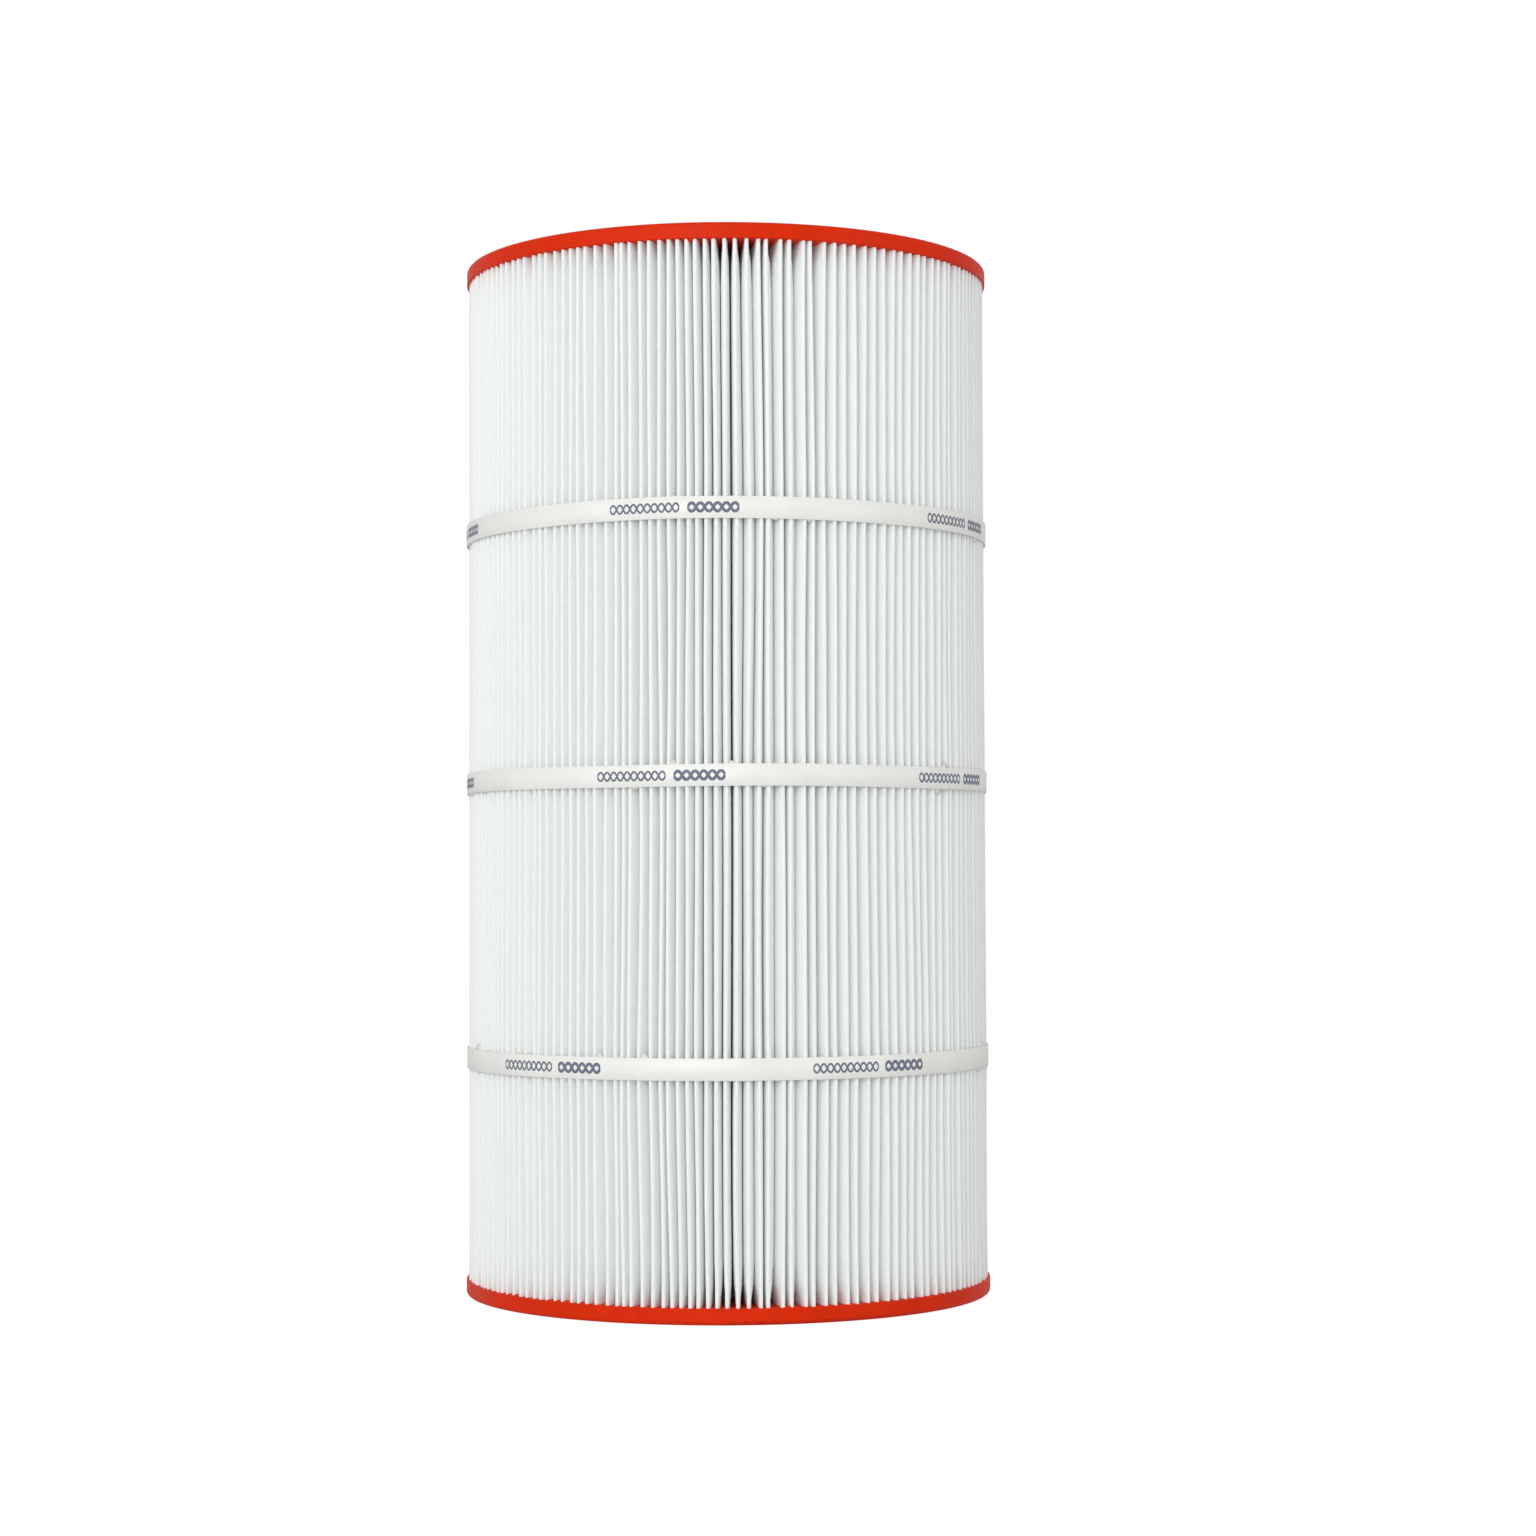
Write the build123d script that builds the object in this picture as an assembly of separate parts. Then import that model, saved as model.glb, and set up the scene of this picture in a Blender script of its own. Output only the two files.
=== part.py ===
from build123d import *
import math
import os

# Pleated pool filter cartridge: a folded media sheet round a moulded core, potted into two open end caps.
#
# The cartridge stands on its bottom cap. The axis is Z, and the bottom cap's flat face is at Z = 0. The
# media's side seam and the bands' welded overlaps are on the +Y side. Everything is bonded: nothing moves.
# Sizes are in millimetres and angles in degrees from +X.

# ---------------------------------------------------------------- overall sizes
overall_length = 444.0  # flat face to flat face
cap_diameter = 227.0
cap_bore_diameter = 101.6  # slides over the filter's centre tube

# ---------------------------------------------------------------- end caps, cast urethane
cap_height = 6.6
potting_depth = 3.0  # how far the media, the seam and the core stand in the urethane
cap_rim_web = 0.9  # urethane outside the pleat tips
cap_rim_radius = 1.8  # rounded outer corner of the flat face
bore_edge_radius = 0.8  # rounded edge of the bore on the flat face
sealing_lip = 3.7  # urethane inside the end of the core
moat_depth = 1.0  # shallow moat between the two flat lands
moat_taper = 0.8  # slope at each side of the moat
outer_land = 9.0  # from the rim to the moat
inner_land = 9.0  # from the bore to the moat
rib_count = 12  # radial ribs across the moat, flush with the lands
rib_width = 2.4
rib_root = 0.5  # how far a rib reaches into the urethane above the moat

# ---------------------------------------------------------------- media, one folded sheet of polyester
pleat_count = 160
media_thickness = 0.6
outer_fold_radius = 0.75  # to the middle of the sheet, as is the inner one
inner_fold_radius = 0.60
media_core_clearance = 0.5  # between the core and the inner folds
seam_angle = 90.0
seam_depth = 8.0  # how far the hot melt reaches down between the sheet's two edges

# ---------------------------------------------------------------- core, sections with half-lap ends
core_wall = 4.0
core_section_count = 4
core_end_ring = 11.0  # plain ring at each end of a section
core_ring_rib = 5.0  # ring between two rows of windows
core_column_rib = 6.5  # upright between two columns of windows
core_window_rows = 4
core_window_pairs = 8  # each cutter makes two opposite windows
core_window_corner = 2.5
lap_length = 6.0
lap_clearance = 0.1  # radial, between a spigot and its socket
lap_end_gap = 0.3  # axial, past the end of a spigot

# ---------------------------------------------------------------- hold-down bands and their hot melt
band_names = ("bottom", "middle", "top")
band_heights = (102.0, 220.0, 328.0)  # to the middle of each band
band_overlap_angles = (97.0, 84.0, 104.0)  # middle of each welded overlap
band_width = 9.0
band_thickness = 0.35
band_overlap = 28.0  # along the circumference
adhesive_film = 0.1  # between the pleat tips and the band
adhesive_depth = 1.3  # down each panel, into the valleys
adhesive_margin = 0.8  # bare strip under each edge of the band

# ---------------------------------------------------------------- what follows from them
cap_radius = cap_diameter / 2
bore_radius = cap_bore_diameter / 2
cap_base = cap_height - potting_depth
potted_length = overall_length - 2 * cap_base
core_inner_radius = bore_radius + sealing_lip
core_outer_radius = core_inner_radius + core_wall
core_section_length = potted_length / core_section_count
tip_radius = cap_radius - cap_rim_web
outer_fold_centre = tip_radius - outer_fold_radius - media_thickness / 2
inner_fold_centre = (
    core_outer_radius + media_core_clearance + inner_fold_radius + media_thickness / 2
)
half_pitch = 180.0 / pleat_count  # from an inner fold to the next outer fold
band_inner_radius = tip_radius + adhesive_film


def polar(radius, angle):
    """A point in the XY plane."""
    turn = math.radians(angle)
    return Vector(radius * math.cos(turn), radius * math.sin(turn))


def tube(outer, inner, foot, height):
    """A plain ring round Z, standing at the height foot."""
    return Pos(0, 0, foot) * extrude(Circle(outer) - Circle(inner), height)


# ---------------------------------------------------------------- media
# hand is 1 for the panel that leaves an inner fold counter-clockwise and -1 for the one that leaves it
# clockwise. side is 1 for the sheet's outward face and -1 for the face towards the core.


def panel_normal(hand):
    """Unit normal of the panel between the inner fold at angle 0 and the outer fold on its hand side.

    The middle of the sheet passes one fold's centre on each side, at that fold's radius.
    """
    along = polar(outer_fold_centre, hand * half_pitch) - polar(inner_fold_centre, 0)
    lean = math.acos((inner_fold_radius + outer_fold_radius) / along.length)
    return polar(1, math.degrees(math.atan2(along.Y, along.X) + hand * lean))


def panel_foot(angle, hand, side):
    """Where a panel's face leaves the inner fold at that angle."""
    reach = inner_fold_radius - side * media_thickness / 2
    point = polar(inner_fold_centre, 0) + panel_normal(hand) * reach
    return point.rotate(Axis.Z, angle)


def panel_head(angle, hand, side):
    """Where a panel's face, on the hand side of its own inner fold, meets the outer fold at that angle."""
    reach = outer_fold_radius + side * media_thickness / 2
    point = polar(outer_fold_centre, hand * half_pitch) - panel_normal(hand) * reach
    return point.rotate(Axis.Z, angle - hand * half_pitch)


def outer_fold(angle, side):
    """The arc of one outer fold, counter-clockwise."""
    crown = polar(outer_fold_centre + outer_fold_radius + side * media_thickness / 2, angle)
    return ThreePointArc(panel_head(angle, 1, side), crown, panel_head(angle, -1, side))


def inner_fold(angle, side):
    """The arc of one inner fold, counter-clockwise."""
    root = polar(inner_fold_centre - inner_fold_radius + side * media_thickness / 2, angle)
    return ThreePointArc(panel_foot(angle, -1, side), root, panel_foot(angle, 1, side))


def sheet_face(side):
    """One face of the folded sheet, from one raw edge at the seam all the way round to the other."""
    edges = []
    for pleat in range(pleat_count):
        start = seam_angle + 2 * pleat * half_pitch
        middle, end = start + half_pitch, start + 2 * half_pitch
        fold = inner_fold(middle, side)
        edges += [Line(panel_head(start, -1, side), fold @ 0), fold]
        edges.append(Line(fold @ 1, panel_head(end, 1, side)))
        if pleat < pleat_count - 1:
            edges.append(outer_fold(end, side))
    return edges


def media_section():
    """Cross-section of the folded sheet. It is open at the seam, where its two raw edges meet."""
    raw_edges = [
        Line(panel_head(seam_angle, hand, 1), panel_head(seam_angle, hand, -1)) for hand in (1, -1)
    ]
    return Face(Wire(sheet_face(1) + sheet_face(-1) + raw_edges))


def seam_section():
    """Hot melt between the two raw edges, with a crown like the folds beside it."""
    crown = outer_fold(seam_angle, 1)
    heads = {hand: panel_head(seam_angle, hand, -1) for hand in (1, -1)}
    feet = {}
    for hand, head in heads.items():
        down = panel_foot(seam_angle - hand * half_pitch, hand, -1) - head
        feet[hand] = head + down.normalized() * seam_depth
    inside = Polyline(crown @ 0, heads[1], feet[1], feet[-1], heads[-1], crown @ 1)
    return Face(Wire([crown, *inside.edges()]))


def adhesive_section():
    """Ring of hot melt under a band. It covers the folds with a film and fills each valley's mouth."""
    crowns = [outer_fold(seam_angle + 2 * i * half_pitch, 1) for i in range(pleat_count)]
    edges, feet = [], []
    for i, crown in enumerate(crowns):
        angle = seam_angle + 2 * i * half_pitch
        for hand, head in ((1, crown @ 0), (-1, crown @ 1)):
            down = panel_foot(angle - hand * half_pitch, hand, 1) - head
            feet.append(head + down.normalized() * adhesive_depth)
            edges.append(Line(head, feet[-1]))
    across = [Line(feet[i], feet[(i + 1) % len(feet)]) for i in range(1, len(feet), 2)]
    return Face(Circle(band_inner_radius).wire(), [Wire(crowns + edges + across)])


# ---------------------------------------------------------------- end caps


def cap_outline():
    """Half section of the bottom cap, with the moat in its flat face and the groove for the core's end."""
    moat_start = bore_radius + inner_land
    moat_end = cap_radius - outer_land
    corners = [
        (bore_radius, 0),
        (moat_start, 0),
        (moat_start + moat_taper, moat_depth),
        (moat_end - moat_taper, moat_depth),
        (moat_end, 0),
        (cap_radius, 0),
        (cap_radius, cap_height),
        (core_outer_radius, cap_height),
        (core_outer_radius, cap_base),
        (core_inner_radius, cap_base),
        (core_inner_radius, cap_height),
        (bore_radius, cap_height),
    ]
    return make_face(Polyline(*[(radius, 0, z) for radius, z in corners], close=True))


def face_circle(cap, radius):
    """The edge of that radius on a cap's flat face."""
    circles = cap.edges().filter_by(GeomType.CIRCLE).filter_by_position(Axis.Z, 0, 0)
    return circles.sort_by(lambda edge: abs(edge.radius - radius))[0]


def moat_rib(index):
    """One radial rib across the moat. Its ends run into the lands."""
    inside = bore_radius + inner_land / 2
    outside = cap_radius - outer_land / 2
    size = (outside - inside, rib_width, moat_depth + rib_root)
    bar = Box(*size, align=(Align.MIN, Align.CENTER, Align.MIN))
    return Rot(0, 0, 360 * index / rib_count) * Pos(inside, 0, 0) * bar


def bottom_cap(potted_sections):
    """The bottom end cap, cast round the ends of the media and of the seam."""
    cap = revolve(cap_outline(), Axis.Z)
    cap = fillet(face_circle(cap, cap_radius), cap_rim_radius)
    cap = fillet(face_circle(cap, bore_radius), bore_edge_radius)
    cap += [moat_rib(i) for i in range(rib_count)]
    return cap - [Pos(0, 0, cap_base) * extrude(face, potting_depth) for face in potted_sections]


# ---------------------------------------------------------------- core


def core_windows(foot):
    """Cutters for every window of the section that stands at the height foot."""
    rows_space = core_section_length - 2 * core_end_ring - (core_window_rows - 1) * core_ring_rib
    height = rows_space / core_window_rows
    pitch = math.pi * (core_inner_radius + core_outer_radius) / (2 * core_window_pairs)
    outline = RectangleRounded(pitch - core_column_rib, height, core_window_corner)
    cutter = extrude(Plane.YZ * outline, 2 * core_outer_radius, both=True)
    first = foot + core_end_ring + height / 2
    return [
        Pos(0, 0, first + row * (height + core_ring_rib)) * Rot(0, 0, 180 * i / core_window_pairs) * cutter
        for row in range(core_window_rows)
        for i in range(core_window_pairs)
    ]


def core_section(index):
    """One section of the core, counted up from the bottom cap."""
    foot = cap_base + index * core_section_length
    lap_radius = (core_inner_radius + core_outer_radius) / 2
    section = tube(core_outer_radius, core_inner_radius, foot, core_section_length)
    if index < core_section_count - 1:
        spigot_radius = lap_radius - lap_clearance / 2
        section += tube(
            spigot_radius, core_inner_radius, foot + core_section_length - lap_length, 2 * lap_length
        )
    if index > 0:
        socket = Cylinder(
            lap_radius + lap_clearance / 2,
            lap_length + lap_end_gap,
            align=(Align.CENTER, Align.CENTER, Align.MIN),
        )
        section -= Pos(0, 0, foot) * socket
    return section - core_windows(foot)


# ---------------------------------------------------------------- bands


def band(height, overlap_angle):
    """A strap round the pleat tips, with its tail welded over its start."""
    foot = height - band_width / 2
    strap = tube(band_inner_radius + band_thickness, band_inner_radius, foot, band_width)
    tail_arc = math.degrees(band_overlap / band_inner_radius)
    weld = band_thickness / 2  # the tail's outline starts inside the strap, so that they join
    outline = Rectangle(band_thickness + weld, band_width, align=(Align.MIN, Align.MIN))
    placed = Plane.XZ * Pos(band_inner_radius + band_thickness - weld, foot) * outline
    tail = revolve(placed, Axis.Z, tail_arc)
    return strap + Rot(0, 0, overlap_angle - tail_arc / 2) * tail


def band_adhesive(height):
    """Hot melt between the pleat tips and a band."""
    foot = height - band_width / 2 + adhesive_margin
    return Pos(0, 0, foot) * extrude(adhesive_section(), band_width - 2 * adhesive_margin)


def main():
    media, seam = media_section(), seam_section()
    cap = bottom_cap([media, seam])
    nodes = {
        "bottom_end_cap": cap,
        "top_end_cap": Pos(0, 0, overall_length) * mirror(cap, Plane.XY),
        "pleated_media": Pos(0, 0, cap_base) * extrude(media, potted_length),
        "side_seam_bead": Pos(0, 0, cap_base) * extrude(seam, potted_length),
    }
    for index in range(core_section_count):
        nodes[f"core_section_{index + 1}"] = core_section(index)
    for name, height, overlap_angle in zip(band_names, band_heights, band_overlap_angles):
        nodes[f"{name}_band"] = band(height, overlap_angle)
        nodes[f"{name}_band_adhesive"] = band_adhesive(height)
    os.makedirs("parts", exist_ok=True)
    for name, shape in nodes.items():
        export_step(shape, f"parts/{name}.step")


main()
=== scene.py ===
import math

import bpy
import numpy as np
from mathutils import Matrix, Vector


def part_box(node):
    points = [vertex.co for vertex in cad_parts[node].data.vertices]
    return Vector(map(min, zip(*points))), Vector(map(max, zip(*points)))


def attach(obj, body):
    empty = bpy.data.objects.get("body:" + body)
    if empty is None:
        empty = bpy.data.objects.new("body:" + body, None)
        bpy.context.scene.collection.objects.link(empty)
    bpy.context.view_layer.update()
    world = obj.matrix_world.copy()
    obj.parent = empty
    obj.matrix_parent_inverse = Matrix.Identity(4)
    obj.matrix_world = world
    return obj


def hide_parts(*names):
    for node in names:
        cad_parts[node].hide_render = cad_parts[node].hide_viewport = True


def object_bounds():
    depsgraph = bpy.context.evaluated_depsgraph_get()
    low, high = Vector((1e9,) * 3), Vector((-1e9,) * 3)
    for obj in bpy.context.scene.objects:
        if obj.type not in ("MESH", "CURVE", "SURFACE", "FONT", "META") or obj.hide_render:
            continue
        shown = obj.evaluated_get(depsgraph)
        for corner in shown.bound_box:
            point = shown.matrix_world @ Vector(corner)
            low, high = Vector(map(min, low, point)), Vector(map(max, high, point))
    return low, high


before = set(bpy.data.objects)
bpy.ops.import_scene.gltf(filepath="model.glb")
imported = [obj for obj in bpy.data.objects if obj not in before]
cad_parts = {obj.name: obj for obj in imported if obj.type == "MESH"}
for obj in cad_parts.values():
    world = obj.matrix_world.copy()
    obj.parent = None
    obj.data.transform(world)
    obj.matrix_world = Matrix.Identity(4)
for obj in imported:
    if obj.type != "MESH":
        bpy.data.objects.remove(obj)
cad_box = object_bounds()

# A pleated pool filter cartridge standing on its bottom cap, its axis along Z. The CAD end caps, core and
# side seam stay as they are and get their finishes here. The folded media, the bands, their print and
# their hot melt, and the urethane that has crept up between the pleats are made here.

mm = 0.001
draws = np.random.default_rng(41)

# ---------------------------------------------------------------- places taken from the frame
media_low, media_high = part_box("pleated_media")
cap_face_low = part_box("bottom_end_cap")[1].z  # the inner faces of the two caps
cap_face_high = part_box("top_end_cap")[0].z
cap_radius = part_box("bottom_end_cap")[1].x
core_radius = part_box("core_section_2")[1].x
tip_radius = media_high.x
band_names = ("bottom", "middle", "top")
band_heights = [(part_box(f"{name}_band")[0].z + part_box(f"{name}_band")[1].z) / 2 for name in band_names]
stations = np.array([cap_face_low, *band_heights, cap_face_high])  # the heights where the pleats are held
spans = len(stations) - 1

# ---------------------------------------------------------------- the media's folds
pleat_count = 160
sheet_thickness = 0.6 * mm
seam_fold_radius = 0.75 * mm  # to the middle of the sheet, beside the seam's bead
outer_fold_radius = 0.5 * mm  # everywhere else
inner_fold_radius = 0.60 * mm
core_clearance = 0.5 * mm
seam_angle = math.radians(90)
pitch = 2 * math.pi / pleat_count
end_rows = np.array((0, 3.2, 6.5, 12, 22)) * mm  # from each raw end, heights of the folded outline's rows
middle_rows = 15  # evenly spaced between those
panel_shares = (0.09, 0.45)  # where a panel has points between its tip and its root
tip_points = 5  # round each outer fold
quiet_pleats = 3.0  # pleats beside the seam that stay regular

# ---------------------------------------------------------------- how uneven the pleats are
tip_scatter = 0.09  # share of a pitch, at the caps and the bands
tip_change = 0.6  # how much of it changes from one of them to the next
tip_bow = 0.05  # share of a pitch, halfway between them
drift_scatter = 0.14  # share of a pitch, shared by neighbouring pleats
drift_change = 0.5  # how much of it changes from one band to the next
drift_reach = 4.0  # pleats
slow_drift = 0.03  # radians, in slow waves round the cartridge: pleats are wider apart on one side of each
slow_waves = 3
widest_angle = math.radians(-52)  # where one wave has them widest apart
tip_depth = 0.6 * mm  # how far a tip may lie inside the largest one
valley_gaps = (0.4 * mm, 0.12 * mm)  # between two puffed panels, at each of panel_shares
valley_gap_spreads = (0.18 * mm, 0.05 * mm)
least_gap = 0.12 * mm  # aimed at in every valley; the nearest panels come a few microns closer
gap_change = 0.4  # share of a gap's spread that changes from one band to the next
gap_bow = 0.3  # share of a gap's spread, halfway between the bands
open_end = 8.0 * mm  # how far from a cap the valleys are still held open
panel_sway = 0.35 * mm  # how far neighbouring panels curve to one side together
sway_change = 0.2  # share of that sway that changes from one band to the next
tip_spacing = 2 * seam_fold_radius + sheet_thickness + least_gap  # nearest two tips come
spacing_passes = 40  # times that crowded tips are pushed apart

# ---------------------------------------------------------------- urethane crept up between the pleats
creep_least = 0.15 * mm
creep_spread = 0.25 * mm
creep_most = 1.5 * mm
creep_sink = 0.4 * mm  # how deep its foot lies inside the cap
creep_skin = 0.05 * mm  # its thickness at both rims
creep_outer_rim = cap_radius - 0.35 * mm
creep_inner_rim = core_radius + 1.5 * mm
creep_slope = 2.5 * mm  # how far in from the tips it falls away
creep_steps = 8  # from one tip to the next

# ---------------------------------------------------------------- bands
band_width = 9.0 * mm
band_thickness = 0.35 * mm
band_overlap = math.radians(14.2)
band_overlap_angles = [math.radians(angle) for angle in (97.0, 84.0, 104.0)]
band_gap = 0.1 * mm  # over the largest tip
steps_per_pleat = 4
edge_waver = 0.22 * mm
edge_waves = (1, 2, 3, 5)  # round the cartridge
band_slack = 0.35 * mm  # how far a band stands off the tips in places
slack_waves = (2, 3, 4, 7)
band_ripple = 0.03 * mm
ripple_waves = (23, 31, 44, 61)
lap_climb = math.radians(2.5)  # the turn in which a band's tail climbs onto its start
lap_gap = 0.02 * mm
band_corner = 0.1 * mm

# ---------------------------------------------------------------- print on the bands
print_blocks = 5  # evenly spaced round a band
print_length = math.radians(27.3)
print_starts = [math.radians(angle) for angle in (-144.4, -117.7, -114.7)]
print_groups = (  # start and end as shares of the block, waves, height and line width
    (0.0, 0.55, 5, 4.2 * mm, 0.8 * mm),
    (0.61, 1.0, 3, 4.6 * mm, 1.25 * mm),
)
ink_thickness = (0.02 * mm, 0.03 * mm)  # the second line of each pair is printed over the first
points_per_wave = 16

# ---------------------------------------------------------------- hot melt under the bands
melt_tip_reach = band_width / 2 - 1.1 * mm  # from a band's middle to the melt's edge, at a tip
melt_valley_reach = band_width / 2 - 0.9 * mm  # the least reach in a valley
melt_squeeze = 0.4 * mm  # how much further it is squeezed out there
melt_tip_depth = 0.25 * mm  # inside the tips' radius, at a tip
melt_valley_depth = 1.0 * mm  # how much deeper it reaches in a valley
melt_edge = 0.15 * mm  # how far its rounded edge stands out
melt_taper = 0.3 * mm  # how much narrower it is inside, at each edge
melt_gap = 0.01 * mm  # under the band
melt_steps = 6  # from one tip to the next


# ================================================================ meshes

def quads(rows, columns, wrap_rows=False, wrap_columns=False):
    """Faces of a grid of points stored row by row."""
    row = np.arange(rows if wrap_rows else rows - 1)
    column = np.arange(columns if wrap_columns else columns - 1)
    low = row[:, None] * columns
    high = ((row + 1) % rows)[:, None] * columns
    here = column[None, :]
    there = ((column + 1) % columns)[None, :]
    faces = np.stack([low + here, low + there, high + there, high + here], axis=-1)
    return faces.reshape(-1, 4)


def mesh_piece(name, points, faces, material):
    """A new smooth-shaded object made of these points and faces."""
    mesh = bpy.data.meshes.new(name)
    points = np.asarray(points).reshape(-1, 3).tolist()
    mesh.from_pydata(points, [], [[int(index) for index in face] for face in faces])
    mesh.validate()
    mesh.shade_smooth()
    mesh.materials.append(material)
    piece = bpy.data.objects.new(name, mesh)
    bpy.context.collection.objects.link(piece)
    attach(piece, "root")
    return piece


def ring_piece(name, sections, material):
    """A closed ring: one loop of section points for each step round the axis."""
    steps, size = sections.shape[:2]
    return mesh_piece(name, sections, quads(steps, size, wrap_rows=True, wrap_columns=True), material)


def bar_faces(steps, size):
    """Faces of a bar with two flat ends: one loop of section points for each step along it."""
    faces = quads(steps, size, wrap_columns=True).tolist()
    faces.append(list(range(size))[::-1])
    faces.append(list(range((steps - 1) * size, steps * size)))
    return faces


def strip_piece(name, sections, material):
    """A bar with two flat ends."""
    return mesh_piece(name, sections, bar_faces(*sections.shape[:2]), material)


def around(radius, angle, height):
    """Points from their radius, angle and height."""
    radius, angle, height = np.broadcast_arrays(radius, angle, height)
    return np.stack([radius * np.cos(angle), radius * np.sin(angle), height], axis=-1)


# ================================================================ materials

def new_material(name):
    """A material and its Principled shader."""
    material = bpy.data.materials.new(name)
    material.use_nodes = True
    return material, material.node_tree.nodes["Principled BSDF"]


def add_node(tree, kind, **values):
    """A node with its input sockets set by name."""
    node = tree.nodes.new(kind)
    for socket, value in values.items():
        node.inputs[socket.replace("_", " ")].default_value = value
    return node


def grain_group():
    """Fine surface grain and slow blotches, for every finish. Both come out as values from 0 to 1."""
    group = bpy.data.node_groups.new("surface_grain", "ShaderNodeTree")
    for name, value in (("Grain Scale", 900.0), ("Blotch Scale", 60.0)):
        group.interface.new_socket(name, in_out="INPUT", socket_type="NodeSocketFloat").default_value = value
    for name in ("Grain", "Blotches"):
        group.interface.new_socket(name, in_out="OUTPUT", socket_type="NodeSocketFloat")
    start = group.nodes.new("NodeGroupInput")
    end = group.nodes.new("NodeGroupOutput")
    place = group.nodes.new("ShaderNodeTexCoord")
    for scale, detail, result in (("Grain Scale", 3.0, "Grain"), ("Blotch Scale", 4.0, "Blotches")):
        noise = add_node(group, "ShaderNodeTexNoise", Detail=detail, Roughness=0.6)
        group.links.new(place.outputs["Object"], noise.inputs["Vector"])
        group.links.new(start.outputs[scale], noise.inputs["Scale"])
        group.links.new(noise.outputs["Fac"], end.inputs[result])
    return group


def ranged(tree, value, low, high):
    """A value from 0 to 1 mapped to the range from low to high, with a little more contrast."""
    node = add_node(tree, "ShaderNodeMapRange", From_Min=0.3, From_Max=0.7, To_Min=low, To_Max=high)
    tree.links.new(value, node.inputs["Value"])
    return node.outputs["Result"]


def blended(tree, value, first, second):
    """A colour between two, by a value from 0 to 1."""
    node = tree.nodes.new("ShaderNodeMix")
    node.data_type = "RGBA"
    node.inputs[6].default_value = (*first, 1)
    node.inputs[7].default_value = (*second, 1)
    tree.links.new(value, node.inputs["Factor"])
    return node.outputs[2]


def bumped(tree, shader, height, strength, depth):
    """Relief on a shader's normal."""
    bump = add_node(tree, "ShaderNodeBump", Strength=strength, Distance=depth)
    tree.links.new(height, bump.inputs["Height"])
    tree.links.new(bump.outputs["Normal"], shader.inputs["Normal"])


def finish_material(name, colours, roughness, grain_scale, blotch_scale, strength, depth):
    """A material with two blended colours, uneven roughness and fine grain, and its shader."""
    material, shader = new_material(name)
    tree = material.node_tree
    grain = tree.nodes.new("ShaderNodeGroup")
    grain.node_tree = surface_grain
    grain.inputs["Grain Scale"].default_value = grain_scale
    grain.inputs["Blotch Scale"].default_value = blotch_scale
    blotches = ranged(tree, grain.outputs["Blotches"], 0.0, 1.0)
    tree.links.new(blended(tree, blotches, *colours), shader.inputs["Base Color"])
    tree.links.new(ranged(tree, grain.outputs["Blotches"], *roughness), shader.inputs["Roughness"])
    bumped(tree, shader, grain.outputs["Grain"], strength, depth)
    return material, shader


def spunbond():
    """White polyester web of bonded fibres, soft and matte."""
    material, shader = finish_material(
        "spunbond_polyester", colours=((0.878, 0.910, 0.906), (0.922, 0.945, 0.941)), roughness=(0.8, 0.95),
        grain_scale=3200.0, blotch_scale=750.0, strength=0.8, depth=0.2 * mm)
    shader.inputs["Specular IOR Level"].default_value = 0.25
    shader.inputs["Sheen Weight"].default_value = 0.08
    return material


def urethane():
    """Orange-red cast urethane, half glossy."""
    material, shader = finish_material(
        "cast_urethane", colours=((0.635, 0.023, 0.001), (0.715, 0.028, 0.002)), roughness=(0.34, 0.5),
        grain_scale=1400.0, blotch_scale=90.0, strength=0.25, depth=0.1 * mm)
    shader.inputs["Specular IOR Level"].default_value = 0.07
    return material


def moulded_plastic():
    """White moulded polypropylene, a little waxy."""
    return finish_material(
        "core_polypropylene", colours=((0.76, 0.78, 0.77), (0.82, 0.83, 0.82)), roughness=(0.4, 0.55),
        grain_scale=1100.0, blotch_scale=45.0, strength=0.2, depth=0.1 * mm)[0]


def tape():
    """Creamy white band tape with a soft gloss."""
    return finish_material(
        "band_tape", colours=((0.81, 0.82, 0.78), (0.86, 0.87, 0.83)), roughness=(0.26, 0.42),
        grain_scale=700.0, blotch_scale=70.0, strength=0.2, depth=0.1 * mm)[0]


def glue():
    """Hot melt adhesive: cream, smooth and rather glossy."""
    return finish_material(
        "hot_melt_glue", colours=((0.74, 0.72, 0.62), (0.82, 0.81, 0.74)), roughness=(0.2, 0.35),
        grain_scale=500.0, blotch_scale=150.0, strength=0.2, depth=0.1 * mm)[0]


def ink():
    """Slate blue printing ink, a little uneven."""
    return finish_material(
        "slate_ink", colours=((0.11, 0.13, 0.19), (0.19, 0.215, 0.29)), roughness=(0.4, 0.55),
        grain_scale=1500.0, blotch_scale=400.0, strength=0.15, depth=0.05 * mm)[0]


# ================================================================ media

def smooth_step(share):
    """From 0 to 1 with level ends."""
    return share * share * (3 - 2 * share)


def shared_drift():
    """One slowly changing random value for each pleat, with a spread of about 1."""
    loose = draws.normal(size=pleat_count)
    reach = np.minimum(np.arange(pleat_count), pleat_count - np.arange(pleat_count))
    kernel = np.exp(-0.5 * (reach / drift_reach) ** 2)
    kernel /= np.sqrt((kernel**2).sum())
    return np.real(np.fft.ifft(np.fft.fft(loose) * np.fft.fft(kernel)))


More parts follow.
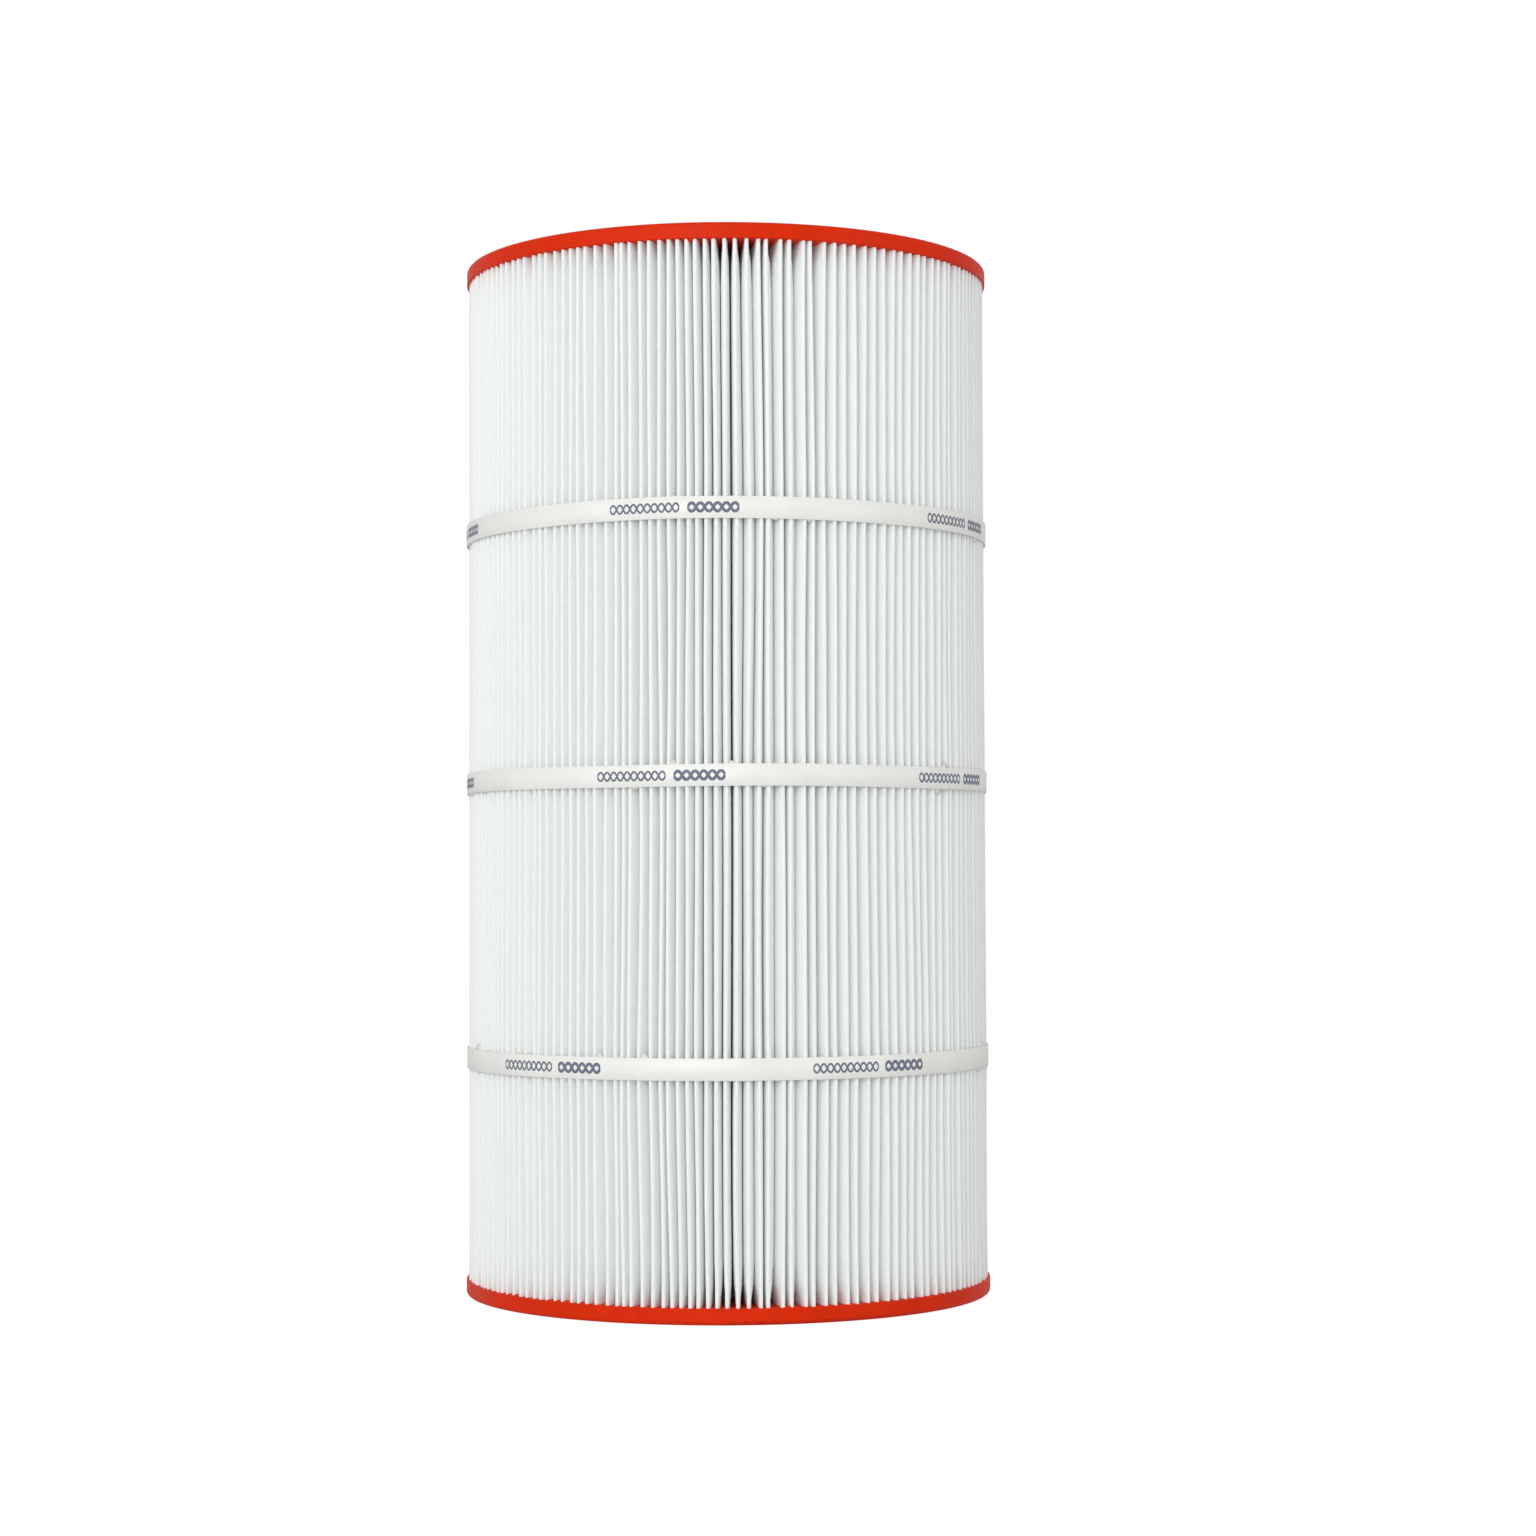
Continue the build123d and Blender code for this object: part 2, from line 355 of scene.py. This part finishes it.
def along_height(at_stations, between):
    """Values for each row and pleat: level at the caps and bands, and bowed between them."""
    span = np.clip(np.searchsorted(stations, row_heights) - 1, 0, spans - 1)
    share = np.clip((row_heights - stations[span]) / (stations[span + 1] - stations[span]), 0, 1)[:, None]
    level = at_stations[span] + (at_stations[span + 1] - at_stations[span]) * smooth_step(share)
    return level + between[span] * np.sin(math.pi * share)


def uneven_tips():
    """Each tip's angle and depth in each row. The first and the last tip, at the seam, stay put."""
    calm = calm_near_seam()
    own = draws.normal(size=(spans + 1, pleat_count)) * tip_scatter * tip_change
    own += draws.normal(size=pleat_count) * tip_scatter
    drift = np.stack([shared_drift() for _ in stations]) * drift_scatter * drift_change
    drift += shared_drift() * drift_scatter
    bow = draws.normal(size=(spans, pleat_count)) * tip_bow
    shift = along_height(own + drift, bow) * calm * pitch
    even = seam_angle + np.arange(pleat_count) * pitch
    angle = even + shift + slow_drift * np.sin(slow_waves * (even - widest_angle)) * calm
    depth_at = draws.random((spans + 1, pleat_count)) * tip_depth / 2
    depth_between = draws.random((spans, pleat_count)) * tip_depth / 2
    depth = along_height(depth_at, depth_between) * calm
    least = tip_spacing / tip_radius
    for _ in range(spacing_passes):
        angle = np.concatenate([angle, angle[:, :1] + 2 * math.pi], axis=1)
        short = np.clip(least - np.diff(angle, axis=1), 0, None) / 2
        angle = angle[:, :-1]
        angle = angle - short + np.roll(short, 1, axis=1)
        angle[:, 0] = seam_angle
    return angle, depth


def turned(vector, angle):
    """A plane vector turned counter-clockwise."""
    cos, sin = np.cos(angle), np.sin(angle)
    x, y = vector[..., 0], vector[..., 1]
    return np.stack([x * cos - y * sin, x * sin + y * cos], axis=-1)


def from_angle(angle):
    """Unit vector at an angle."""
    return np.stack([np.cos(angle), np.sin(angle)], axis=-1)


def folded_outline():
    """The middle of the folded sheet in each row, from one raw edge at the seam round to the other."""
    fold_radii = np.append(outer_fold_radii(), seam_fold_radius)
    inner_centre = core_radius + core_clearance + inner_fold_radius + sheet_thickness / 2
    angles = np.concatenate([tip_angles, tip_angles[:, :1] + 2 * math.pi], axis=1)
    depths = np.concatenate([tip_depths, tip_depths[:, :1]], axis=1)
    root_angles = seam_angle + (np.arange(pleat_count) + 0.5) * pitch + np.zeros((len(row_heights), 1))
    tips = from_angle(angles) * (tip_radius - fold_radii - sheet_thickness / 2 - depths)[..., None]
    roots = from_angle(root_angles) * inner_centre
    normals, heads, feet = {}, {}, {}
    for hand, ends, folds in ((-1, tips[:, :-1], fold_radii[:-1]), (1, tips[:, 1:], fold_radii[1:])):
        reach = ends - roots
        length = np.linalg.norm(reach, axis=-1)
        lean = np.arccos((inner_fold_radius + folds) / length)
        normals[hand] = turned(reach / length[..., None], hand * lean)
        feet[hand] = roots + normals[hand] * inner_fold_radius
        heads[hand] = ends - normals[hand] * folds[:, None]
    bend = tip_bend(normals)
    panels = {hand: [] for hand in (-1, 1)}
    for share, gap, spread in zip(panel_shares, valley_gaps, valley_gap_spreads):
        ends = {hand: heads[hand] * (1 - share) + feet[hand] * share for hand in (-1, 1)}
        across = ends[1] - ends[-1]
        width = np.linalg.norm(across, axis=-1)
        wanted = np.clip(gap + spread * uneven_gaps(), least_gap, width - sheet_thickness)
        closing = (width - sheet_thickness - wanted) / 2 * calm_valleys() * puffed() / width
        sway = shared_sway() * panel_sway * math.sin(math.pi * share) * calm_valleys() / width
        for hand in (-1, 1):
            panels[hand].append(ends[hand] - across * (hand * closing - sway)[..., None])

    points = []
    for pleat in range(pleat_count):
        if pleat:
            start, end = bend[:, :, pleat]
            for share in np.linspace(0, 1, tip_points):
                direction = from_angle(angles[:, pleat] + start + (end - start) * share)
                points.append(tips[:, pleat] + direction * fold_radii[pleat])
        else:
            points.append(heads[-1][:, 0])
        points += [place[:, pleat] for place in panels[-1]]
        for turn in (math.pi / 2, 0, -math.pi / 2):
            direction = from_angle(root_angles[:, pleat] + math.pi + turn)
            points.append(roots[:, pleat] + direction * inner_fold_radius)
        points += [place[:, pleat] for place in panels[1][::-1]]
    points.append(heads[1][:, -1])
    return np.stack(points, axis=1)


def outer_fold_radii():
    """Each outer fold's radius: the seam's own at the seam, and a tighter one a few pleats away."""
    return seam_fold_radius + (outer_fold_radius - seam_fold_radius) * calm_near_seam()


def media_row_heights():
    """The heights of the media's rows of points, closer together near the caps."""
    low, high = media_low.z + end_rows, media_high.z - end_rows[::-1]
    return np.concatenate([low, np.linspace(low[-1], high[0], middle_rows + 2)[1:-1], high])


def puffed():
    """How far the panels have puffed towards each other at each height: 0 at the caps, 1 away from them."""
    from_cap = np.minimum(row_heights - cap_face_low, cap_face_high - row_heights)
    return 1 - np.exp(-((np.clip(from_cap, 0, None) / open_end) ** 2))[:, None]


def calm_near_seam():
    """1 for most pleats, falling to 0 at the seam."""
    nearest = np.minimum(np.arange(pleat_count), pleat_count - np.arange(pleat_count))
    return np.clip(nearest / quiet_pleats, 0, 1)


def calm_valleys():
    """The same for the valleys: 0 beside the seam."""
    nearest = np.minimum(np.arange(pleat_count), pleat_count - 1 - np.arange(pleat_count))
    return np.clip(nearest / quiet_pleats, 0, 1)


def shared_sway():
    """How neighbouring panels curve to one side together at each height, mostly alike all the way up."""
    own = np.stack([shared_drift() for _ in stations]) * sway_change
    return along_height(shared_drift() + own, np.zeros((spans, pleat_count)))


def uneven_gaps():
    """A random value for each row and valley, mostly alike all the way up."""
    own = draws.normal(size=(spans + 1, pleat_count)) * gap_change
    shared = draws.normal(size=pleat_count)
    return along_height(shared + own, draws.normal(size=(spans, pleat_count)) * gap_bow)


def tip_bend(normals):
    """Where each tip's arc starts and ends, as angles from the tip's own direction."""
    before = -np.roll(normals[1], 1, axis=1)
    after = -normals[-1]
    turns = []
    for side in (before, after):
        turn = np.arctan2(side[..., 1], side[..., 0]) - tip_angles
        turns.append((turn + math.pi) % (2 * math.pi) - math.pi)
    return np.stack(turns)


def pleated_media():
    """One closed thin sheet, folded into pleats, with both faces and its raw edges."""
    outline = folded_outline()
    along = np.gradient(outline, axis=1)
    along /= np.linalg.norm(along, axis=-1)[..., None]
    outward = np.stack([along[..., 1], -along[..., 0]], axis=-1) * sheet_thickness / 2
    loop = np.concatenate([outline + outward, (outline - outward)[:, ::-1]], axis=1)
    height = np.broadcast_to(row_heights[:, None, None], (*loop.shape[:2], 1))
    points = np.concatenate([loop, height], axis=-1)
    rows, size = loop.shape[:2]
    faces = quads(rows, size, wrap_columns=True)
    near = np.arange(size // 2 - 1)
    end = np.stack([near, size - 1 - near, size - 2 - near, near + 1], axis=-1)
    faces = np.concatenate([faces, end, (end + (rows - 1) * size)[:, ::-1]])
    piece = mesh_piece("media_sheet", points, faces, spunbond())
    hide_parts("pleated_media")
    return piece


# ================================================================ urethane between the pleats

def creep(name, cap_face, side, angles, material):
    """The urethane that has crept up between the pleats at one cap. side is 1 above the face, -1 below."""
    tips = np.append(angles, angles[0] + 2 * math.pi)
    rise = np.minimum(creep_least + draws.gamma(1.0, creep_spread, size=pleat_count), creep_most)
    rim, back = creep_outer_rim, creep_inner_rim
    sections = []
    for pleat in range(pleat_count):
        for share in np.linspace(0, 1, creep_steps, endpoint=False):
            angle = tips[pleat] + (tips[pleat + 1] - tips[pleat]) * share
            swell = math.sin(math.pi * share) ** 1.5
            top = creep_least * (1 - swell) + rise[pleat] * swell
            mouth = tip_radius - (0.3 + 0.9 * swell) * mm
            radii = np.array([rim, rim, (rim + mouth) / 2, mouth, mouth - creep_slope, back, back])
            levels = np.array([-creep_sink, creep_skin, top * 0.6, top, top * 0.4, creep_skin, -creep_sink])
            sections.append(around(radii, angle, cap_face + side * levels))
    piece = ring_piece(name, np.array(sections)[:, ::-side], material)
    return piece


# ================================================================ bands

def waver(count, waves, spread):
    """A closed random curve with that many sine waves, one value for each step."""
    turn = np.arange(count) / count * 2 * math.pi
    value = np.zeros(count)
    for wave in waves:
        value += draws.normal() * np.sin(wave * turn + draws.random() * 2 * math.pi)
    return value / math.sqrt(len(waves)) * spread


class BandShape:
    """How one band runs: its inner radius and its height at each angle."""

    def __init__(self, height):
        self.steps = pleat_count * steps_per_pleat
        self.height = height
        self.rise = waver(self.steps, edge_waves, edge_waver)
        slack = np.abs(waver(self.steps, slack_waves, band_slack))
        ripple = waver(self.steps, ripple_waves, band_ripple)
        self.slack = slack + np.abs(ripple)

    def at(self, angle, values):
        """One of the closed curves, read at any angle."""
        turn = np.asarray(angle) / (2 * math.pi) * self.steps
        low = np.floor(turn).astype(int)
        share = turn - low
        return values[low % self.steps] * (1 - share) + values[(low + 1) % self.steps] * share

    def radius(self, angle):
        """The band's inner radius."""
        return tip_radius + band_gap + self.at(angle, self.slack)

    def middle(self, angle):
        """The height of the band's middle."""
        return self.height + self.at(angle, self.rise)


def band(name, shape, overlap_angle, material):
    """A strap that runs once round the tips and laps over its own start."""
    start = overlap_angle - band_overlap / 2
    total = 2 * math.pi + band_overlap
    count = int(shape.steps * total / (2 * math.pi))
    travel = np.linspace(0, total, count)
    climb = smooth_step(np.clip((travel - 2 * math.pi + lap_climb) / lap_climb, 0, 1))
    angle = start + travel
    inner = shape.radius(angle) + climb * (band_thickness + lap_gap)
    half, corner = band_width / 2, band_corner
    offsets = [(0, -half + corner), (corner, -half), (band_thickness - corner, -half),
               (band_thickness, -half + corner), (band_thickness, 0), (band_thickness, half - corner),
               (band_thickness - corner, half), (corner, half), (0, half - corner), (0, 0)]
    sections = [around(inner + out, angle, shape.middle(angle) + up) for out, up in offsets]
    piece = strip_piece(f"{name}_band_strap", np.stack(sections[::-1], axis=1), material)
    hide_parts(f"{name}_band")
    return piece


def wave_line(shape, start, length, amplitude, waves, shift, width, thickness):
    """The sections of one printed wave line on a band."""
    count = waves * points_per_wave + 1
    share = np.linspace(0, 1, count)
    angle = start + length * share
    phase = 2 * math.pi * waves * share + shift
    slope = amplitude * 2 * math.pi * waves / (length * tip_radius) * np.cos(phase)
    tall = width / 2 * np.sqrt(1 + slope**2)
    middle = shape.middle(angle) + amplitude * np.sin(phase)
    face = shape.radius(angle) + band_thickness
    offsets = [(0, -1), (0, 1), (thickness, 1), (thickness, -1)]
    return np.stack([around(face + out, angle, middle + up * tall) for out, up in offsets], axis=1)


def band_print(name, shape, first, material):
    """Blocks of crossed wave lines, a fine group and a bold group in each, evenly spaced round the band."""
    for block in range(print_blocks):
        start = first + (block - 1) * 2 * math.pi / print_blocks
        points, faces = [], []
        for begin, end, waves, height, width in print_groups:
            for shift, thickness in zip((0, math.pi), ink_thickness):
                sections = wave_line(shape, start + print_length * begin, print_length * (end - begin),
                                     (height - width) / 2, waves, shift, width, thickness)
                steps, size = sections.shape[:2]
                faces += [[index + len(points) for index in face] for face in bar_faces(steps, size)]
                points += sections.reshape(-1, 3).tolist()
        piece = mesh_piece(f"{name}_band_print_{block + 1}", points, faces, material)


def band_glue(name, shape, angles, material):
    """The hot melt between the tips and a band, squeezed out a little at some of the valleys."""
    tips = np.append(angles, angles[0] + 2 * math.pi)
    down, up = [melt_valley_reach + draws.gamma(1.2, melt_squeeze, size=pleat_count) for _ in range(2)]
    sections = []
    for pleat in range(pleat_count):
        for share in np.linspace(0, 1, melt_steps, endpoint=False):
            angle = tips[pleat] + (tips[pleat + 1] - tips[pleat]) * share
            swell = math.sin(math.pi * share)
            outer = float(shape.radius(angle)) - melt_gap
            inner = tip_radius - melt_tip_depth - melt_valley_depth * swell
            between = (outer + inner) / 2
            low = shape.middle(angle) - melt_tip_reach - (down[pleat] - melt_tip_reach) * swell
            high = shape.middle(angle) + melt_tip_reach + (up[pleat] - melt_tip_reach) * swell
            radii = np.array([outer, outer, between, inner, inner, between])
            edges = [low, high, high + melt_edge, high - melt_taper, low + melt_taper, low - melt_edge]
            sections.append(around(radii, angle, np.array(edges)))
    piece = ring_piece(f"{name}_band_glue", np.array(sections)[:, ::-1], material)
    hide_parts(f"{name}_band_adhesive")
    return piece


# ================================================================ CAD pieces' finishes

def refinish(node, material):
    """Gives a CAD node's object a new material."""
    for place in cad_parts[node].material_slots:
        place.material = material


# ================================================================ studio

def floor():
    """A wide pale floor just under the cartridge. It glows a little, so only a faint shadow is left on it."""
    bpy.ops.mesh.primitive_plane_add(size=12.0, location=(0, 0, -0.2 * mm))
    piece = bpy.context.object
    piece.name = "studio_floor"
    material, shader = new_material("pale_floor")
    tree = material.node_tree
    shader.inputs["Base Color"].default_value = (0.35, 0.35, 0.35, 1)
    shader.inputs["Roughness"].default_value = 1.0
    shader.inputs["Specular IOR Level"].default_value = 0.0
    shader.inputs["Emission Color"].default_value = (1, 1, 1, 1)
    rays = tree.nodes.new("ShaderNodeLightPath")
    glow = add_node(tree, "ShaderNodeMapRange", To_Min=0.3, To_Max=0.86)
    tree.links.new(rays.outputs["Is Camera Ray"], glow.inputs["Value"])
    tree.links.new(glow.outputs["Result"], shader.inputs["Emission Strength"])
    piece.data.materials.append(material)


def surround():
    """White studio all round: brighter to the camera than as a light."""
    world = bpy.data.worlds.new("white_studio")
    bpy.context.scene.world = world
    world.use_nodes = True
    tree = world.node_tree
    tree.nodes.clear()
    seen = add_node(tree, "ShaderNodeBackground", Color=(1, 1, 1, 1), Strength=1.0)
    glow = add_node(tree, "ShaderNodeBackground", Color=(1, 0.985, 0.985, 1), Strength=0.64)
    rays = tree.nodes.new("ShaderNodeLightPath")
    choose = tree.nodes.new("ShaderNodeMixShader")
    out = tree.nodes.new("ShaderNodeOutputWorld")
    tree.links.new(rays.outputs["Is Camera Ray"], choose.inputs["Fac"])
    tree.links.new(glow.outputs["Background"], choose.inputs[1])
    tree.links.new(seen.outputs["Background"], choose.inputs[2])
    tree.links.new(choose.outputs["Shader"], out.inputs["Surface"])


def soft_light(name, azimuth, elevation, distance, size, power):
    """A square softbox that faces the middle of the cartridge. Azimuth 0 is the camera's side."""
    light = bpy.data.lights.new(name, "AREA")
    light.shape = "SQUARE"
    light.size = size
    light.energy = power
    lamp = bpy.data.objects.new(name, light)
    bpy.context.collection.objects.link(lamp)
    turn, rise = math.radians(azimuth), math.radians(elevation)
    middle = (cad_box[0] + cad_box[1]) / 2
    lamp.location = (
        middle.x + distance * math.sin(turn) * math.cos(rise),
        middle.y - distance * math.cos(turn) * math.cos(rise),
        middle.z + distance * math.sin(rise),
    )
    lamp.rotation_euler = (middle - lamp.location).to_track_quat("-Z", "Y").to_euler()


def studio_lights():
    """A broad softbox beside the camera, and a weaker one at each side."""
    soft_light("front_softbox", -14, 12, 1.9, 1.1, 12.5)
    soft_light("right_softbox", 56, 12, 1.9, 1.1, 3.5)
    soft_light("left_softbox", -52, 12, 1.9, 1.1, 3.5)


def camera():
    """Stands before the cartridge, a little below its middle, tilted up a little."""
    data = bpy.data.cameras.new("camera")
    data.sensor_width = 36.0
    data.lens = 73.45
    data.clip_start = 0.05
    eye = bpy.data.objects.new("camera", data)
    bpy.context.collection.objects.link(eye)
    eye.location = (0, -1.371, 0.1751)
    eye.rotation_euler = (math.radians(90 + 2.168), math.radians(0.187), math.radians(-0.736))
    bpy.context.scene.camera = eye


# ================================================================ assembly

camera()
surround()
floor()
studio_lights()
bpy.context.scene.view_settings.view_transform = "Standard"
bpy.context.scene.cycles.max_bounces = 16
bpy.context.scene.cycles.diffuse_bounces = 12

surface_grain = grain_group()
row_heights = media_row_heights()
tip_angles, tip_depths = uneven_tips()
pleated_media()

red = urethane()
creep("bottom_cap_creep", cap_face_low, 1, tip_angles[0], red)
creep("top_cap_creep", cap_face_high, -1, tip_angles[-1], red)
for node in ("bottom_end_cap", "top_end_cap"):
    refinish(node, red)
white = moulded_plastic()
for section in range(1, 5):
    refinish(f"core_section_{section}", white)
melt = glue()
refinish("side_seam_bead", melt)

strap, slate = tape(), ink()
for name, height, overlap_angle, first in zip(band_names, band_heights, band_overlap_angles, print_starts):
    shape = BandShape(height)
    near_row = int(np.argmin(np.abs(row_heights - height)))
    band(name, shape, overlap_angle, strap)
    band_print(name, shape, first, slate)
    band_glue(name, shape, tip_angles[near_row], melt)
